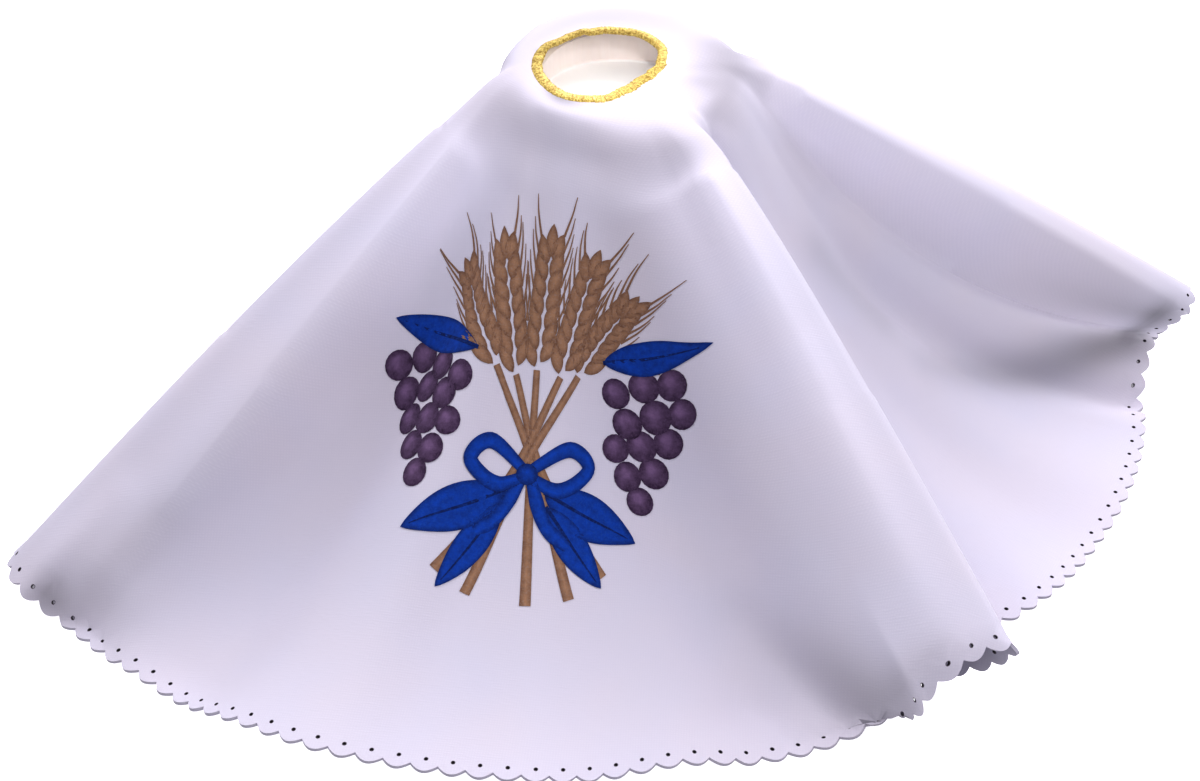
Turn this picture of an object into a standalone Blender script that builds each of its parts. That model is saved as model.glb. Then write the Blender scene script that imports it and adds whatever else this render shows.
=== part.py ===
"""A round altar cloth draped over a plain round stand, as CAD solids.

The cloth is one circle of white fabric with a scalloped hem and a round hole in the middle.
A gold band is stitched around the hole. The cloth's crown leans on the rim of the stand's
shallow cup, dips to the front, and the rest falls in uneven folds to the surface.
Sizes are in millimetres, turned into metres where the meshes are made. The origin is on the
surface, on the stand's axis. +Z is up, and the cloth's front panel faces -Y.
"""

from math import asin, cos, pi, sin

import bmesh
import bpy
import numpy as np

METRES = 0.001

CLOTH_RADIUS = 225.0
SCALLOPS = 188
SCALLOP_ROUND = 4.3
SCALLOP_STEPS = 4
HEM_RADIUS = 221.0
CLOTH_THICKNESS = 1.2
HALF = CLOTH_THICKNESS / 2

BAND_RADIUS = 20.5
BAND_WIDTH = 3.0
BAND_WALL = 0.6
GAP = 0.3
HOLE_RADIUS = BAND_RADIUS - BAND_WIDTH + BAND_WALL + GAP

RIM_RADIUS = 34.0
RIM_ROUNDING = 8.0
CROWN_HEIGHT = 113.5
CROWN_SLOPE = 0.14
BACK_PUFF = 1.8
CLOTH_SHIFT = -6.0

SAG_AT = 0.62
MOST_SAG = 44.0
PUFF_AT = 0.12
PUFF_RISE = 15.0

CUP_OUTER = 29.0
CUP_EDGE = 3.0
CUP_INNER = 23.0
CUP_DEPTH = 4.5
RIM_DROP = 1.2
POST_RADIUS = 9.0
FOOT_RADIUS = 38.0
STAND_TOP = CROWN_HEIGHT - (CUP_OUTER - CUP_EDGE) * CROWN_SLOPE - HALF - GAP

HEM_SAMPLES = 8000
CURVE_STEPS = 80
BAND_STEPS = 60
TURNED_STEPS = 48
PROUD_SCALE = 30.0

# The hem's course about the cloth's centre, a row for each turn of a fold: the plan angle in
# degrees counted on past a full turn, the reach, the lift above the surface, the angle where the
# fold leaves the stand's rim, and how far it stands proud (1) or sags (0) on the way.
HEM_ROWS = (
    # turn, reach, lift, start, proud
    (212, 190, 9, 186, 0.5),
    (215, 188, 5, 190, 0.4),
    (218, 185, 2, 194, 0.2),
    (222, 183, 0, 198, 0),
    (228, 181.5, 3, 204, 0),
    (236, 183, 7.5, 212, 0),
    (243, 185.5, 10.5, 219, 0),
    (249, 186, 11, 225, 0),
    (254, 182.5, 8, 230, 0),
    (259, 181, 7, 235, 0),
    (264, 180.5, 7, 240, 0),
    (270, 176, 4, 246, 0),
    (277, 171, 3, 254, 0),
    (284, 171, 0, 262, 0.1),
    (291, 172, 0, 271, 0.3),
    (296, 173, 1, 279, 0.6),
    (299, 172, 7, 286, 0.8),
    (301, 173, 14, 291, 1),
    (304, 175, 19, 297, 1),
    (306.5, 178, 18, 303, 1),
    (306.5, 172, 9, 305, 0.9),
    (304, 165, 4, 307, 0.7),
    (300, 158, 2.5, 309, 0.5),
    (296.5, 150, 1.5, 311, 0.3),
    (299, 143, 0, 313, 0.1),
    (305, 147, 0, 315, 0),
    (312, 156, 1, 318, 0),
    (320, 160, 2, 324, 0),
    (330, 161, 0, 331, 0),
    (340, 164, 2, 338, 0),
    (350, 167, 3, 345, 0),
    (357, 169, 7, 350, 0.1),
    (364, 176, 9, 356, 0.1),
    (368, 192, 14, 363, 0.1),
    (370.5, 197, 17, 370, 0.2),
    (374, 191, 15, 377, 0.2),
    (378, 174, 7, 383, 0.2),
    (383, 152, 0, 389, 0.1),
    (391, 136, 0, 394, 0),
    (399, 140, 0, 401, 0),
    (405, 157, 4, 407, 0.1),
    (410, 176, 10, 412, 0.2),
    (414, 185, 14, 416, 0.3),
    (418, 180, 11, 420, 0.2),
    (422, 164, 5, 424, 0.1),
    (427, 144, 0, 430, 0),
    (434, 130, 0, 437, 0),
    (441, 138, 0, 444, 0),
    (446, 157, 4, 449, 0.1),
    (450, 171, 9, 453, 0.2),
    (454, 177, 12, 457, 0.3),
    (458, 170, 9, 461, 0.2),
    (462, 158, 4, 465, 0.1),
    (468, 136, 0, 470, 0),
    (476, 118, 0, 477, 0),
    (485, 114, 0, 485, 0),
    (493, 124, 3, 492, 0),
    (498, 130, 6, 496, 0),
    (503, 121, 3, 500, 0),
    (509, 104, 0, 505, 0),
    (518, 92, 0, 512, 0),
    (527, 98, 0, 518, 0),
    (535, 114, 3, 524, 0),
    (540, 120, 4, 528, 0),
    (546, 113, 2, 532, 0.1),
    (553, 118, 1, 536, 0.2),
    (560, 142, 2, 539, 0.3),
    (565, 166, 4, 541, 0.4),
    (569, 184, 8, 543, 0.5),
)

# The stitched hole isn't a true circle: the folds pull it, a row for each bend of its outer edge.
HOLE_ROWS = (
    # turn, reach
    (0, 19.3),
    (30, 21.7),
    (50, 21.9),
    (80, 20.4),
    (110, 18.5),
    (135, 18.2),
    (165, 19.8),
    (200, 20.0),
    (240, 21.0),
    (270, 20.0),
    (297, 17.2),
    (320, 16.2),
    (342, 17.4),
)

# Circles of the cloth that carry a ring of corners, by their radius on the flat cloth.
COARSE_CIRCLES = (HOLE_RADIUS, 22.0, 26.0, 31.0, 36.0, 42.0, 52.0, 66.0, 86.0, 110.0, 134.0)
FINE_CIRCLES = (156.0, 178.0, 198.0, 215.0)


def clear_scene():
    for old in list(bpy.data.objects):
        bpy.data.objects.remove(old, do_unlink=True)


def make_material(name, colour, roughness, sheen):
    material = bpy.data.materials.new(name)
    material.use_nodes = True
    surface = material.node_tree.nodes["Principled BSDF"]
    surface.inputs["Base Color"].default_value = (*colour, 1.0)
    surface.inputs["Roughness"].default_value = roughness
    surface.inputs["Metallic"].default_value = 0.0
    surface.inputs["Sheen Weight"].default_value = sheen
    return material


def add_object(name, points, faces, material):
    """Make one object from points in millimetres and faces that list their corners"""
    mesh = bpy.data.meshes.new(name)
    mesh.from_pydata([tuple(METRES * value for value in point) for point in points], [], faces)
    mesh.materials.append(material)
    mesh.shade_smooth()
    thing = bpy.data.objects.new(name, mesh)
    bpy.context.scene.collection.objects.link(thing)
    return thing


def closed_spline(rows, samples):
    """Run a smooth closed curve through rows of numbers, with knots by the distance between them"""
    rows = np.asarray(rows, float)
    count = len(rows)
    following = np.roll(rows, -1, axis=0)
    step = np.linalg.norm((following - rows)[:, :3], axis=1) ** 0.5
    system = np.zeros((count, count))
    target = np.zeros_like(rows)
    for row in range(count):
        before = step[row - 1]
        after = step[row]
        system[row, row] = 2 * (before + after)
        system[row, row - 1] += after
        system[row, (row + 1) % count] += before
        rise_before = (rows[row] - rows[row - 1]) / before
        rise_after = (following[row] - rows[row]) / after
        target[row] = 3 * (after * rise_before + before * rise_after)
    slope = np.linalg.solve(system, target)
    knots = np.concatenate([[0.0], np.cumsum(step)])
    place = np.linspace(0.0, knots[-1], samples, endpoint=False)
    span = np.searchsorted(knots, place, side="right") - 1
    width = step[span][:, None]
    t = (place - knots[span])[:, None] / width
    start = rows[span] * (2 * t**3 - 3 * t**2 + 1) + slope[span] * width * (t**3 - 2 * t**2 + t)
    after_span = (span + 1) % count
    end = rows[after_span] * (3 * t**2 - 2 * t**3) + slope[after_span] * width * (t**3 - t**2)
    return start + end


def hem_course(columns):
    """Points along the hem, evenly spaced as on the flat cloth, with each fold's start and pride"""
    table = np.array(HEM_ROWS, float)
    turn = np.radians(table[:, 0])
    degrees_past = table[:, 3] - table[:, 0]
    across = CLOTH_SHIFT + table[:, 1] * np.cos(turn)
    back = table[:, 1] * np.sin(turn)
    rows = np.stack([across, back, table[:, 2], degrees_past, table[:, 4] * PROUD_SCALE], axis=1)
    dense = closed_spline(rows, HEM_SAMPLES)
    dense[:, 2] = np.maximum(dense[:, 2], 0.0) + HALF
    loop = np.vstack([dense, dense[:1]])
    pace = np.linalg.norm(np.diff(loop[:, :3], axis=0), axis=1)
    along = np.concatenate([[0.0], np.cumsum(pace)])
    places = np.linspace(0.0, along[-1], columns, endpoint=False)
    course = np.stack([np.interp(places, along, loop[:, axis]) for axis in range(5)], axis=1)
    proud = np.clip(course[:, 4:] / PROUD_SCALE, 0.0, 1.0)
    plan_turn = np.arctan2(course[:, 1], course[:, 0] - CLOTH_SHIFT)
    start = plan_turn + np.radians(course[:, 3])
    return course[:, :3], start, proud


def hole_reach(turn):
    """Distance from the axis to the band's outer edge at plan angles in radians"""
    table = np.array(HOLE_ROWS, float)
    centred = np.degrees(turn) % 360.0
    angles = np.concatenate([table[:, 0], [table[0, 0] + 360.0]])
    reaches = np.concatenate([table[:, 1], [table[0, 1]]])
    span = np.searchsorted(angles, centred, side="right") - 1
    share = (centred - angles[span]) / (angles[span + 1] - angles[span])
    eased = 0.5 - 0.5 * np.cos(pi * share)
    return reaches[span] + (reaches[span + 1] - reaches[span]) * eased


def crown_point(turn, radius):
    """A point of the crown for folds that leave the rim at some plan angles, and one flat radius"""
    direction = np.stack([np.cos(turn), np.sin(turn)], axis=1)
    band_edge = hole_reach(turn)
    hole_centre = np.array([CLOTH_SHIFT, 0.0])
    band = hole_centre + direction * (band_edge - max(BAND_RADIUS - radius, 0.0))[:, None]
    share = max(radius - BAND_RADIUS, 0.0) / (RIM_RADIUS - BAND_RADIUS)
    plan = band + (direction * RIM_RADIUS - band) * share
    puff = BACK_PUFF * share * np.maximum(direction[:, 1:], 0.0)
    height = CROWN_HEIGHT + CROWN_SLOPE * plan[:, 1:] + puff
    return np.hstack([plan, height])


def quadratic(start, middle, end, t):
    return (1 - t) ** 2 * start + 2 * t * (1 - t) * middle + t**2 * end


def curve_lengths(start, middle, end, steps):
    """Distance run along each column's fold curve at evenly spaced parameters"""
    t = np.linspace(0.0, 1.0, steps)[:, None, None]
    points = quadratic(start, middle, end, t)
    pace = np.linalg.norm(np.diff(points, axis=0), axis=2)
    return np.concatenate([np.zeros((1, len(start))), np.cumsum(pace, axis=0)])


def fold_knees(rim, hem, proud):
    """The middle control point of each fold: below the straight line by the cloth's slack, or proud"""
    cloth_left = HEM_RADIUS - np.hypot(rim[:, 0] - CLOTH_SHIFT, rim[:, 1])
    chord = hem - rim
    unit = chord / np.linalg.norm(chord, axis=1)[:, None]
    level = unit * np.array([1.0, 1.0, 0.0])
    level = level / np.linalg.norm(level, axis=1)[:, None]
    run = np.hypot(unit[:, 0], unit[:, 1])
    down_and_in = np.stack([level[:, 0] * unit[:, 2], level[:, 1] * unit[:, 2], -run], axis=1)
    low = np.zeros(len(rim))
    high = np.full(len(rim), MOST_SAG)
    for _ in range(24):
        sag = (low + high) / 2
        knee = rim + SAG_AT * chord + down_and_in * sag[:, None]
        knee[:, 2] = np.maximum(knee[:, 2], hem[:, 2])
        short = curve_lengths(rim, knee, hem, CURVE_STEPS)[-1] < cloth_left
        low = np.where(short, sag, low)
        high = np.where(short, high, sag)
    proud_knee = rim + PUFF_AT * chord - down_and_in * PUFF_RISE
    return knee * (1 - proud) + proud_knee * proud


class Drape:
    """The cloth's middle surface in a number of evenly spaced columns from the hole to the hem"""

    def __init__(self, columns):
        self.hem, self.turn, proud = hem_course(columns)
        self.rim = crown_point(self.turn, RIM_RADIUS)
        self.knee = fold_knees(self.rim, self.hem, proud)
        self.run = curve_lengths(self.rim, self.knee, self.hem, CURVE_STEPS)

    def fall_point(self, radius):
        """Points past the rim, placed along each fold by their share of its length"""
        share = min((radius - RIM_RADIUS) / (HEM_RADIUS - RIM_RADIUS), 1.0)
        marks = np.linspace(0.0, 1.0, CURVE_STEPS)
        t = np.array([np.interp(share * run[-1], run, marks) for run in self.run.T])[:, None]
        points = quadratic(self.rim, self.knee, self.hem, t)
        if radius > HEM_RADIUS:
            ahead = self.hem - self.knee
            ahead = ahead / np.linalg.norm(ahead, axis=1)[:, None]
            points = points + ahead * (radius - HEM_RADIUS)
            points[:, 2] = np.maximum(points[:, 2], HALF)
        return points

    def circle(self, radius):
        """One ring of points at a radius of the flat cloth, rounded over where the crown turns down"""
        inner = RIM_RADIUS - RIM_ROUNDING
        outer = RIM_RADIUS + RIM_ROUNDING
        if radius <= inner:
            return crown_point(self.turn, radius)
        if radius >= outer:
            return self.fall_point(radius)
        t = (radius - inner) / (outer - inner)
        return quadratic(crown_point(self.turn, inner), self.rim, self.fall_point(outer), t)


def ring_quads(first, second, count):
    """Faces between two rings of corners that start at the given numbers"""
    faces = []
    for column in range(count):
        beside = (column + 1) % count
        faces.append((first + column, second + column, second + beside, first + beside))
    return faces


def widening_faces(first, second, count):
    """Triangles from a ring to one with twice its corners"""
    faces = []
    for column in range(count):
        beside = (column + 1) % count
        outer = [second + (2 * column + step) % (2 * count) for step in range(3)]
        faces.append((first + column, outer[0], outer[1]))
        faces.append((first + column, outer[1], first + beside))
        faces.append((first + beside, outer[1], outer[2]))
    return faces


def scallop_radius(step):
    """Radius of the cloth's edge at a step across one scallop, from notch to notch"""
    half_pitch = pi * HEM_RADIUS / SCALLOPS
    centre = CLOTH_RADIUS - SCALLOP_ROUND
    widest = asin(half_pitch / SCALLOP_ROUND)
    lean = widest * (2 * step / SCALLOP_STEPS - 1)
    return centre + SCALLOP_ROUND * cos(lean)


def make_cloth(material):
    drape = Drape(SCALLOPS * SCALLOP_STEPS)
    points = []
    starts = []
    for radius in COARSE_CIRCLES:
        starts.append(len(points))
        points.extend(drape.circle(radius)[:: 2 * SCALLOP_STEPS])
    for radius in FINE_CIRCLES:
        starts.append(len(points))
        points.extend(drape.circle(radius)[::SCALLOP_STEPS])
    edge_start = len(points)
    edge_rings = [drape.circle(scallop_radius(step)) for step in range(SCALLOP_STEPS)]
    edge_count = SCALLOPS * SCALLOP_STEPS
    for column in range(edge_count):
        points.append(edge_rings[column % SCALLOP_STEPS][column])

    faces = []
    last_coarse = len(COARSE_CIRCLES) - 1
    for ring in range(len(starts) - 1):
        if ring < last_coarse:
            faces += ring_quads(starts[ring], starts[ring + 1], SCALLOPS // 2)
        elif ring == last_coarse:
            faces += widening_faces(starts[ring], starts[ring + 1], SCALLOPS // 2)
        else:
            faces += ring_quads(starts[ring], starts[ring + 1], SCALLOPS)
    middle = SCALLOP_STEPS // 2
    for scallop in range(SCALLOPS):
        left = starts[-1] + scallop
        right = starts[-1] + (scallop + 1) % SCALLOPS
        first = scallop * SCALLOP_STEPS
        edge = [edge_start + (first + step) % edge_count for step in range(SCALLOP_STEPS + 1)]
        faces += [(left, edge[step], edge[step + 1]) for step in range(middle)]
        faces.append((left, edge[middle], right))
        faces += [(right, edge[step], edge[step + 1]) for step in range(middle, SCALLOP_STEPS)]

    cloth = add_object("cloth", points, faces, material)
    solidify = cloth.modifiers.new("thickness", "SOLIDIFY")
    solidify.thickness = CLOTH_THICKNESS * METRES
    solidify.offset = 0.0
    return cloth


def make_hole_edging(material):
    """A band of stitching that wraps the hole's edge, open towards the cloth"""
    inside = -BAND_WIDTH
    slot = HALF + GAP
    top = slot + BAND_WALL + 0.1
    soft = 0.4
    section = (
        (0.0, slot),
        (0.0, top - soft),
        (-soft, top),
        (inside + soft, top),
        (inside, top - soft),
        (inside, soft - top),
        (inside + soft, -top),
        (-soft, -top),
        (0.0, soft - top),
        (0.0, -slot),
        (inside + BAND_WALL, -slot),
        (inside + BAND_WALL, slot),
    )
    turn = np.linspace(0.0, 2 * pi, BAND_STEPS, endpoint=False)
    points = []
    for out, rise in section:
        ring = crown_point(turn, BAND_RADIUS + out)
        ring[:, 2] += rise
        points.extend(ring)
    faces = []
    for corner in range(len(section)):
        beside = (corner + 1) % len(section)
        faces += ring_quads(beside * BAND_STEPS, corner * BAND_STEPS, BAND_STEPS)
    return add_object("hole_edging", points, faces, material)


def slant_rim(mesh, above):
    """Raise what is higher than a level towards the back, so that the rim follows the crown's slope"""
    front = METRES * (CUP_OUTER - CUP_EDGE)
    for corner in mesh.verts:
        if corner.co.z > above:
            corner.co.z += CROWN_SLOPE * (corner.co.y + front) - METRES * RIM_DROP


def make_stand(material):
    """A turned stand: a foot, a plain post and a shallow cup whose rim is cut on a slant"""
    foot_edge = 5.0
    cup_bottom = STAND_TOP - 16.0
    cup_floor = STAND_TOP - CUP_DEPTH
    profile = (
        (0.0, 0.0),
        (FOOT_RADIUS - 1.0, 0.0),
        (FOOT_RADIUS, 1.0),
        (FOOT_RADIUS, foot_edge - 1.0),
        (FOOT_RADIUS - 2.0, foot_edge),
        (POST_RADIUS + 10.0, foot_edge + 3.0),
        (POST_RADIUS + 3.0, foot_edge + 8.0),
        (POST_RADIUS, foot_edge + 16.0),
        (POST_RADIUS, cup_bottom - 10.0),
        (POST_RADIUS + 3.0, cup_bottom - 3.0),
        (POST_RADIUS + 9.0, cup_bottom),
        (CUP_OUTER - 3.0, cup_bottom + 4.0),
        (CUP_OUTER, cup_bottom + 10.0),
        (CUP_OUTER, STAND_TOP - CUP_EDGE),
        (CUP_OUTER - 0.3 * CUP_EDGE, STAND_TOP - 0.3 * CUP_EDGE),
        (CUP_OUTER - CUP_EDGE, STAND_TOP),
        (CUP_INNER + 1.0, STAND_TOP),
        (CUP_INNER, STAND_TOP - 1.0),
        (CUP_INNER, cup_floor + 0.8),
        (CUP_INNER - 0.8, cup_floor),
        (0.0, cup_floor),
    )
    mesh = bmesh.new()
    corners = [mesh.verts.new((METRES * out, 0.0, METRES * height)) for out, height in profile]
    edges = [mesh.edges.new(pair) for pair in zip(corners, corners[1:])]
    centre = (0, 0, 0)
    up = (0, 0, 1)
    shape = corners + edges
    bmesh.ops.spin(mesh, geom=shape, cent=centre, axis=up, angle=2 * pi, steps=TURNED_STEPS, use_merge=True)
    bmesh.ops.remove_doubles(mesh, verts=mesh.verts, dist=0.00001)
    slant_rim(mesh, METRES * (cup_floor + 1.0))
    bmesh.ops.recalc_face_normals(mesh, faces=mesh.faces)
    data = bpy.data.meshes.new("stand")
    mesh.to_mesh(data)
    mesh.free()
    data.materials.append(material)
    data.shade_smooth()
    data.set_sharp_from_angle(angle=0.7)
    stand = bpy.data.objects.new("stand", data)
    bpy.context.scene.collection.objects.link(stand)
    return stand


def main():
    clear_scene()
    fabric = make_material("white_fabric", (0.82, 0.80, 0.88), 0.85, 0.2)
    gold_thread = make_material("gold_thread", (0.78, 0.56, 0.14), 0.5, 0.2)
    white_paint = make_material("white_paint", (0.80, 0.78, 0.76), 0.5, 0.0)
    make_cloth(fabric)
    make_hole_edging(gold_thread)
    make_stand(white_paint)


main()
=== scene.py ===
"""The looks of a round altar cloth draped over a plain round stand.

The cloth is one thin sheet on the folds of its CAD solid, with the punched holes of its hem, its
soft creases and its weave. A printed sheaf of wheat, grapes and ribbon lies on the front panel, and
the middle hole is edged with satin stitching. Shapes are worked out in millimetres and turned into
metres where the meshes are made. A place on the cloth is given as it was on the flat cloth: an
angle in degrees along the hem and a radius from the hole's centre.
"""

from math import asin, cos, pi, radians, sin

import bpy
import numpy as np
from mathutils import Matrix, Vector


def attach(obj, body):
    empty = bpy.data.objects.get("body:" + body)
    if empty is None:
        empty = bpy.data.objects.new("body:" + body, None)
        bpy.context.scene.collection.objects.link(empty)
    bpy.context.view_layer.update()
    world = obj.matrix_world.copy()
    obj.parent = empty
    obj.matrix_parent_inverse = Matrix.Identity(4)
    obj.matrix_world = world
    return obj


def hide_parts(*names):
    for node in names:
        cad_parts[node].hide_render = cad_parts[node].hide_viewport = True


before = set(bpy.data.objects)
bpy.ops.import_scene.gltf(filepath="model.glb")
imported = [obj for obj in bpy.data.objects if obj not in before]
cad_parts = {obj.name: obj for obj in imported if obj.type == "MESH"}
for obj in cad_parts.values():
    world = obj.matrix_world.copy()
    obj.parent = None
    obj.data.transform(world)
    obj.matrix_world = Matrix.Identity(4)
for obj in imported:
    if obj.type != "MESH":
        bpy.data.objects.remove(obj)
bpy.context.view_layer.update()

METRES = 0.001

# The flat cloth: its radius to the tips of the scallops, the circle that their pinholes lie on, and
# the square that its texture map covers.
CLOTH_RADIUS = 225.0
SCALLOPS = 188
SCALLOP_ROUND = 4.3
HEM_RADIUS = 221.0
PINHOLE_RADIUS = 0.46
PINHOLE_RIM = 0.85
SHEET_THICKNESS = 0.9
HALF_SHEET = SHEET_THICKNESS / 2
FLAT_SPAN = 460.0

# The stitched band round the hole.
BAND_RADIUS = 20.5
BAND_WIDTH = 3.0
HOLE_RADIUS = 18.4
STITCHES = 230

# The crown over the stand's cup, and how deep a crease may go there before it meets the cup.
RIM_RADIUS = 34.0
RIM_ROUNDING = 8.0
CROWN_HEIGHT = 113.5
CROWN_SLOPE = 0.14
BACK_PUFF = 1.8
CLOTH_SHIFT = -6.0
CUP_FLOOR = 104.46
RIM_SPARE = 1.0
FREE_BEYOND_RIM = 12.0
FREE_DEPTH = 10.0

# How the folds fall: the share of the way down where one sags most, the most it may sag, where a
# proud one puffs out and by how much, and the middle of the sheet's least height over the table.
SAG_AT = 0.62
MOST_SAG = 44.0
PUFF_AT = 0.12
PUFF_RISE = 15.0
LIFT = 0.6

# The drape is worked out on this many columns round the cloth and these steps along each.
PER_SCALLOP = 8
COLUMNS = SCALLOPS * PER_SCALLOP
COLUMN_ANGLE = 360.0 / COLUMNS
FIRST_RADIUS = 16.0
RADIUS_STEP = 0.5
HEM_SAMPLES = 8000
CURVE_STEPS = 80
SAG_HALVINGS = 24

# A fold's pride, from 0 to 1, is measured as millimetres on this scale to space the hem's knots.
PROUD_SCALE = 30.0

# The hem's course about the cloth's centre, a row for each turn of a fold: the plan angle in
# degrees counted on past a full turn, the reach, the lift above the surface, the angle where the
# fold leaves the stand's rim, and how far it stands proud (1) or sags (0) on the way.
HEM_ROWS = (
    # turn, reach, lift, start, proud
    (212, 190, 9, 186, 0.5),
    (215, 188, 5, 190, 0.4),
    (218, 185, 2, 194, 0.2),
    (222, 183, 0, 198, 0),
    (228, 181.5, 3, 204, 0),
    (236, 183, 7.5, 212, 0),
    (243, 185.5, 10.5, 219, 0),
    (249, 186, 11, 225, 0),
    (254, 182.5, 8, 230, 0),
    (259, 181, 7, 235, 0),
    (264, 180.5, 7, 240, 0),
    (270, 176, 4, 246, 0),
    (277, 171, 3, 254, 0),
    (284, 171, 0, 262, 0.1),
    (291, 172, 0, 271, 0.3),
    (296, 173, 1, 279, 0.6),
    (299, 172, 7, 286, 0.8),
    (301, 173, 14, 291, 1),
    (304, 175, 19, 297, 1),
    (306.5, 178, 18, 303, 1),
    (306.5, 172, 9, 305, 0.9),
    (304, 165, 4, 307, 0.7),
    (300, 158, 2.5, 309, 0.5),
    (296.5, 150, 1.5, 311, 0.3),
    (299, 143, 0, 313, 0.1),
    (305, 147, 0, 315, 0),
    (312, 156, 1, 318, 0),
    (320, 160, 2, 324, 0),
    (330, 161, 0, 331, 0),
    (340, 164, 2, 338, 0),
    (350, 167, 3, 345, 0),
    (357, 169, 7, 350, 0.1),
    (364, 176, 9, 356, 0.1),
    (368, 192, 14, 363, 0.1),
    (370.5, 197, 17, 370, 0.2),
    (374, 191, 15, 377, 0.2),
    (378, 174, 7, 383, 0.2),
    (383, 152, 0, 389, 0.1),
    (391, 136, 0, 394, 0),
    (399, 140, 0, 401, 0),
    (405, 157, 4, 407, 0.1),
    (410, 176, 10, 412, 0.2),
    (414, 185, 14, 416, 0.3),
    (418, 180, 11, 420, 0.2),
    (422, 164, 5, 424, 0.1),
    (427, 144, 0, 430, 0),
    (434, 130, 0, 437, 0),
    (441, 138, 0, 444, 0),
    (446, 157, 4, 449, 0.1),
    (450, 171, 9, 453, 0.2),
    (454, 177, 12, 457, 0.3),
    (458, 170, 9, 461, 0.2),
    (462, 158, 4, 465, 0.1),
    (468, 136, 0, 470, 0),
    (476, 118, 0, 477, 0),
    (485, 114, 0, 485, 0),
    (493, 124, 3, 492, 0),
    (498, 130, 6, 496, 0),
    (503, 121, 3, 500, 0),
    (509, 104, 0, 505, 0),
    (518, 92, 0, 512, 0),
    (527, 98, 0, 518, 0),
    (535, 114, 3, 524, 0),
    (540, 120, 4, 528, 0),
    (546, 113, 2, 532, 0.1),
    (553, 118, 1, 536, 0.2),
    (560, 142, 2, 539, 0.3),
    (565, 166, 4, 541, 0.4),
    (569, 184, 8, 543, 0.5),
)

# The stitched hole isn't a true circle: the folds pull it, a row for each bend of its outer edge.
HOLE_ROWS = (
    # turn, reach
    (0, 19.3),
    (30, 21.7),
    (50, 21.9),
    (80, 20.4),
    (110, 18.5),
    (135, 18.2),
    (165, 19.8),
    (200, 20.0),
    (240, 21.0),
    (270, 20.0),
    (297, 17.2),
    (320, 16.2),
    (342, 17.4),
)

# Soft troughs (height below 0) and ridges (height above 0), each along a line between two places
# on the flat cloth. Width is the distance from the line at which most of the height is gone. Width
# and height change evenly from the line's start to its end.
CREASES = (
    # from angle, from radius, to angle, to radius, first width, last width, first height, last height
    (150, 27, 112, 42, 4, 4, -1.6, -1.6),
    (118, 33, 104, 60, 5, 6, -1.2, -0.6),
    (165, 39, 124, 40, 6, 6, -1.2, -1.2),
    (30, 45, 60, 43, 8, 7, -2, -2),
    (40, 30, 60, 30, 4, 4, 0.8, 0.8),
    (28, 60, 20, 215, 8, 18, -2, -6),
    (12, 60, 8, 205, 6, 14, 2.5, 5),
    (3, 190, 2.5, 226, 6, 6.5, 1, 4),
    (8.5, 190, 8, 226, 6, 7, -1, -3.5),
    (72, 60, 76, 216, 9, 17, 4, 9),
    (79, 60, 80, 216, 6, 9, 2, 4),
    (89, 60, 89, 216, 5, 9, -1, -3),
    (60, 90, 66, 205, 10, 12, -1, -4),
    (68, 180, 72, 216, 6, 5, -1, -3),
    (77, 185, 78.5, 222, 8, 10, 0.5, 3),
    (153, 100, 154.5, 220, 9, 10, 2, 7),
    (160, 60, 160, 216, 8, 12, 1, 3.5),
    (143, 110, 148.5, 220, 9, 6.5, -1.5, -6),
    (311, 18, 270, 18, 2.4, 2.4, 1.2, 1.2),
)

# Painted shade and painted highlights: lines where the cloth's own colour is made greyer deep in its
# folds, as painted shade, or paler along their crests, as painted highlight. They are given like the
# creases, with the share of its colour lost along the middle of each line in place of a height; a
# share below 0 makes the colour paler.
PAINTED_SHADES = (
    # from angle, from radius, to angle, to radius, first width, last width, first share, last share
    (139, 148, 154.3, 216, 10, 8.5, 0.1, 0.52),
    (155.5, 216, 160.6, 216, 5, 6, 0.36, 0.38),
    (160.2, 160, 160.4, 212, 3.5, 4, 0.02, 0.2),
    (136, 95, 139, 125, 9, 9, 0.12, 0.12),
    (69, 180, 74, 215, 9, 10, 0.04, 0.28),
    (77, 215, 81, 216, 6, 5, 0.12, 0.1),
    (4.2, 220, 6.2, 221, 5, 4.5, 0.34, 0.1),
    (12, 150, 6, 214, 9, 7, 0.03, 0.05),
    (46, 20, 46, 28, 5, 5, 0.42, 0.05),
    (66, 28, 140, 27, 6, 5, 0.1, 0.14),
    (168, 34, 125, 38, 7, 6, 0.24, 0.12),
    (8, 60, 2, 205, 14, 13, -0.16, -0.08),
    (15, 62, 12, 100, 9, 9, -0.1, -0.04),
    (79.5, 60, 80, 195, 6.5, 9, -0.22, -0.05),
    (83, 120, 84.5, 216, 6, 8, -0.04, -0.16),
    (162.4, 52, 162.4, 205, 5, 6.5, -0.28, -0.04),
)

# The most painted highlight and the most painted shade that the lines may add up to.
BRIGHTEST_PAINTED_HIGHLIGHT = -0.18
DEEPEST_PAINTED_SHADE = 0.6

# The sheaf printed on the front panel hangs from this angle of the flat cloth. Its lowest layer of
# ink lies this far over the sheet's middle, and each layer over it a little higher.
MOTIF_ANGLE = 45.3
INK_RISE = HALF_SHEET + 0.14
INK_LAYER = 0.03


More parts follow.
